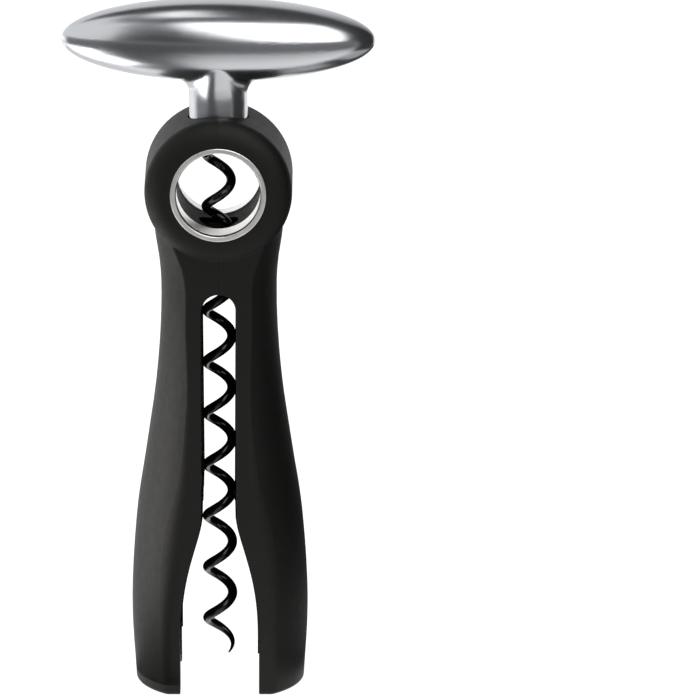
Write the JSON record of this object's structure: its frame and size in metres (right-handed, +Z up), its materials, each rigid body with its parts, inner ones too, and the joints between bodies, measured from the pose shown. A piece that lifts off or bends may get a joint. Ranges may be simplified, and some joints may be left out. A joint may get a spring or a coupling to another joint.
{
  "type": "self-pulling corkscrew",
  "caption": "Self-pulling corkscrew with an oval chrome handle, a round windowed head and a two-legged soft-touch body that fits over a bottle neck.",
  "frame": {"origin": "on the surface the legs stand on, under the middle of the body and on the worm's axis", "axes": "+Z up along the worm towards the handle, -Y out of the front of the window, +X to the right leg"},
  "size_m": [0.0878, 0.0402, 0.1982],
  "materials": {
    "soft_touch_black": "soft-touch matt",
    "lining_black": "semi-gloss moulded",
    "bush_plastic": "smooth moulded",
    "satin_steel": "satin turned",
    "polished_chrome": "polished",
    "worm_coating": "glossy non-stick coating",
    "fastener_steel": "plain zinc plated"
  },
  "bodies": {
    "body": {"left_shell": "soft_touch_black", "right_shell": "soft_touch_black", "cork_tube": "lining_black", "left_neck_pad": "lining_black", "right_neck_pad": "lining_black", "pad_screws": "fastener_steel", "guide_bush": "bush_plastic", "window_tunnel": "lining_black", "front_window_ring": "satin_steel", "rear_window_ring": "satin_steel", "stem_bush": "bush_plastic"},
    "washer": {"thrust_washer": "fastener_steel"},
    "handle_and_worm": {"handle": "polished_chrome", "snap_ring": "fastener_steel", "worm_hub": "fastener_steel", "hub_set_screw": "fastener_steel", "worm": "worm_coating"}
  },
  "joints": [
    {"name": "handle_lift", "type": "slide", "parent": "body", "child": "washer", "axis": [0, 0, 1], "range_m": [0, 0.108]},
    {"name": "handle_turn", "type": "hinge", "parent": "washer", "child": "handle_and_worm", "pos_m": [0, 0, 0.1865], "axis": [0, 0, 1], "continuous": true}
  ]
}
